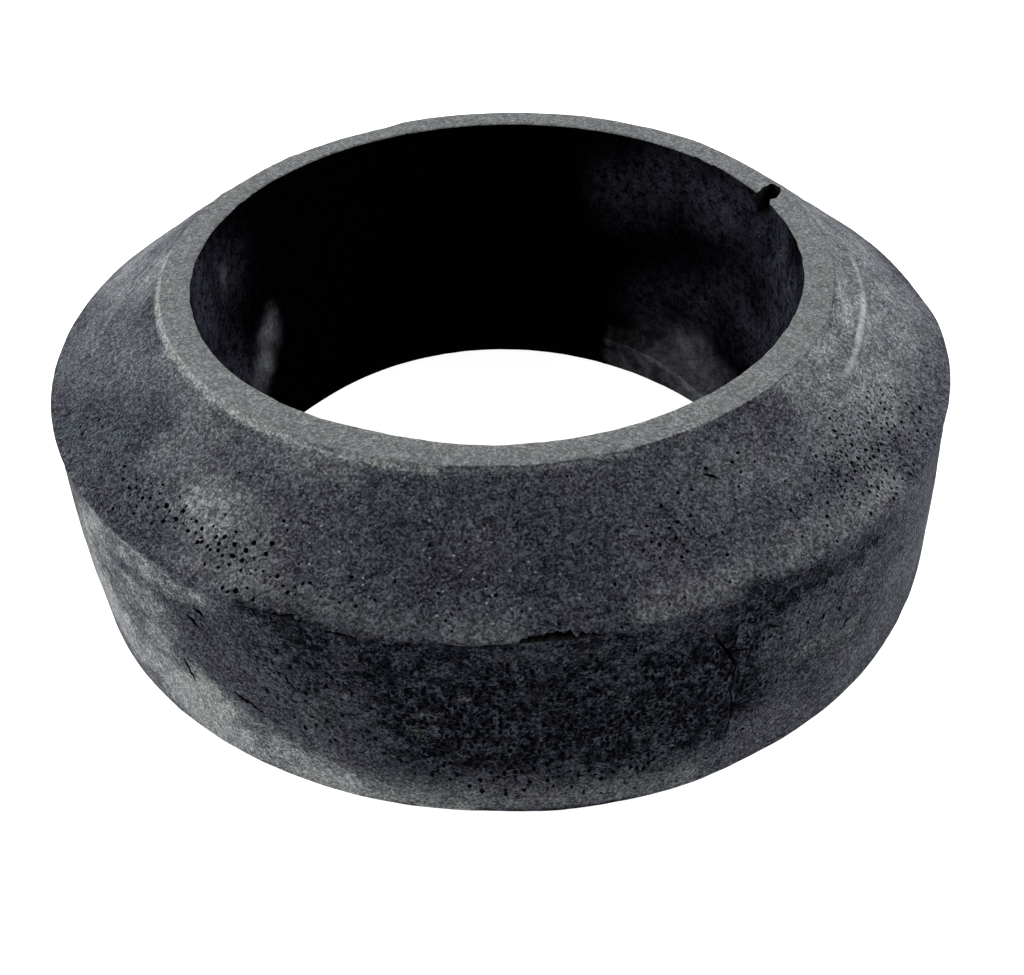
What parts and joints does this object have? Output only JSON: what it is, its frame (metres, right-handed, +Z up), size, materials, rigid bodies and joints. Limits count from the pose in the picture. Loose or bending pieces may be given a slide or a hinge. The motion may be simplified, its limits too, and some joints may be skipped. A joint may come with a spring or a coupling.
{
  "type": "spud gasket",
  "caption": "Thick sponge rubber ring with a straight bore, a near-upright wall and a bevelled upper half, which seals a cistern to the pan below it.",
  "frame": {"origin": "centre of the ring's foot, on the surface it stands on", "axes": "+Z up along the bore's axis, from the wide flat foot to the narrow land; -Y is the side that the picture shows in front"},
  "size_m": [0.0888, 0.0888, 0.0301],
  "materials": {
    "sponge_rubber": "matt black sponge rubber with open pits and a pale dusty bloom"
  },
  "bodies": {
    "root": {"spud_gasket": "sponge_rubber"}
  },
  "joints": []
}
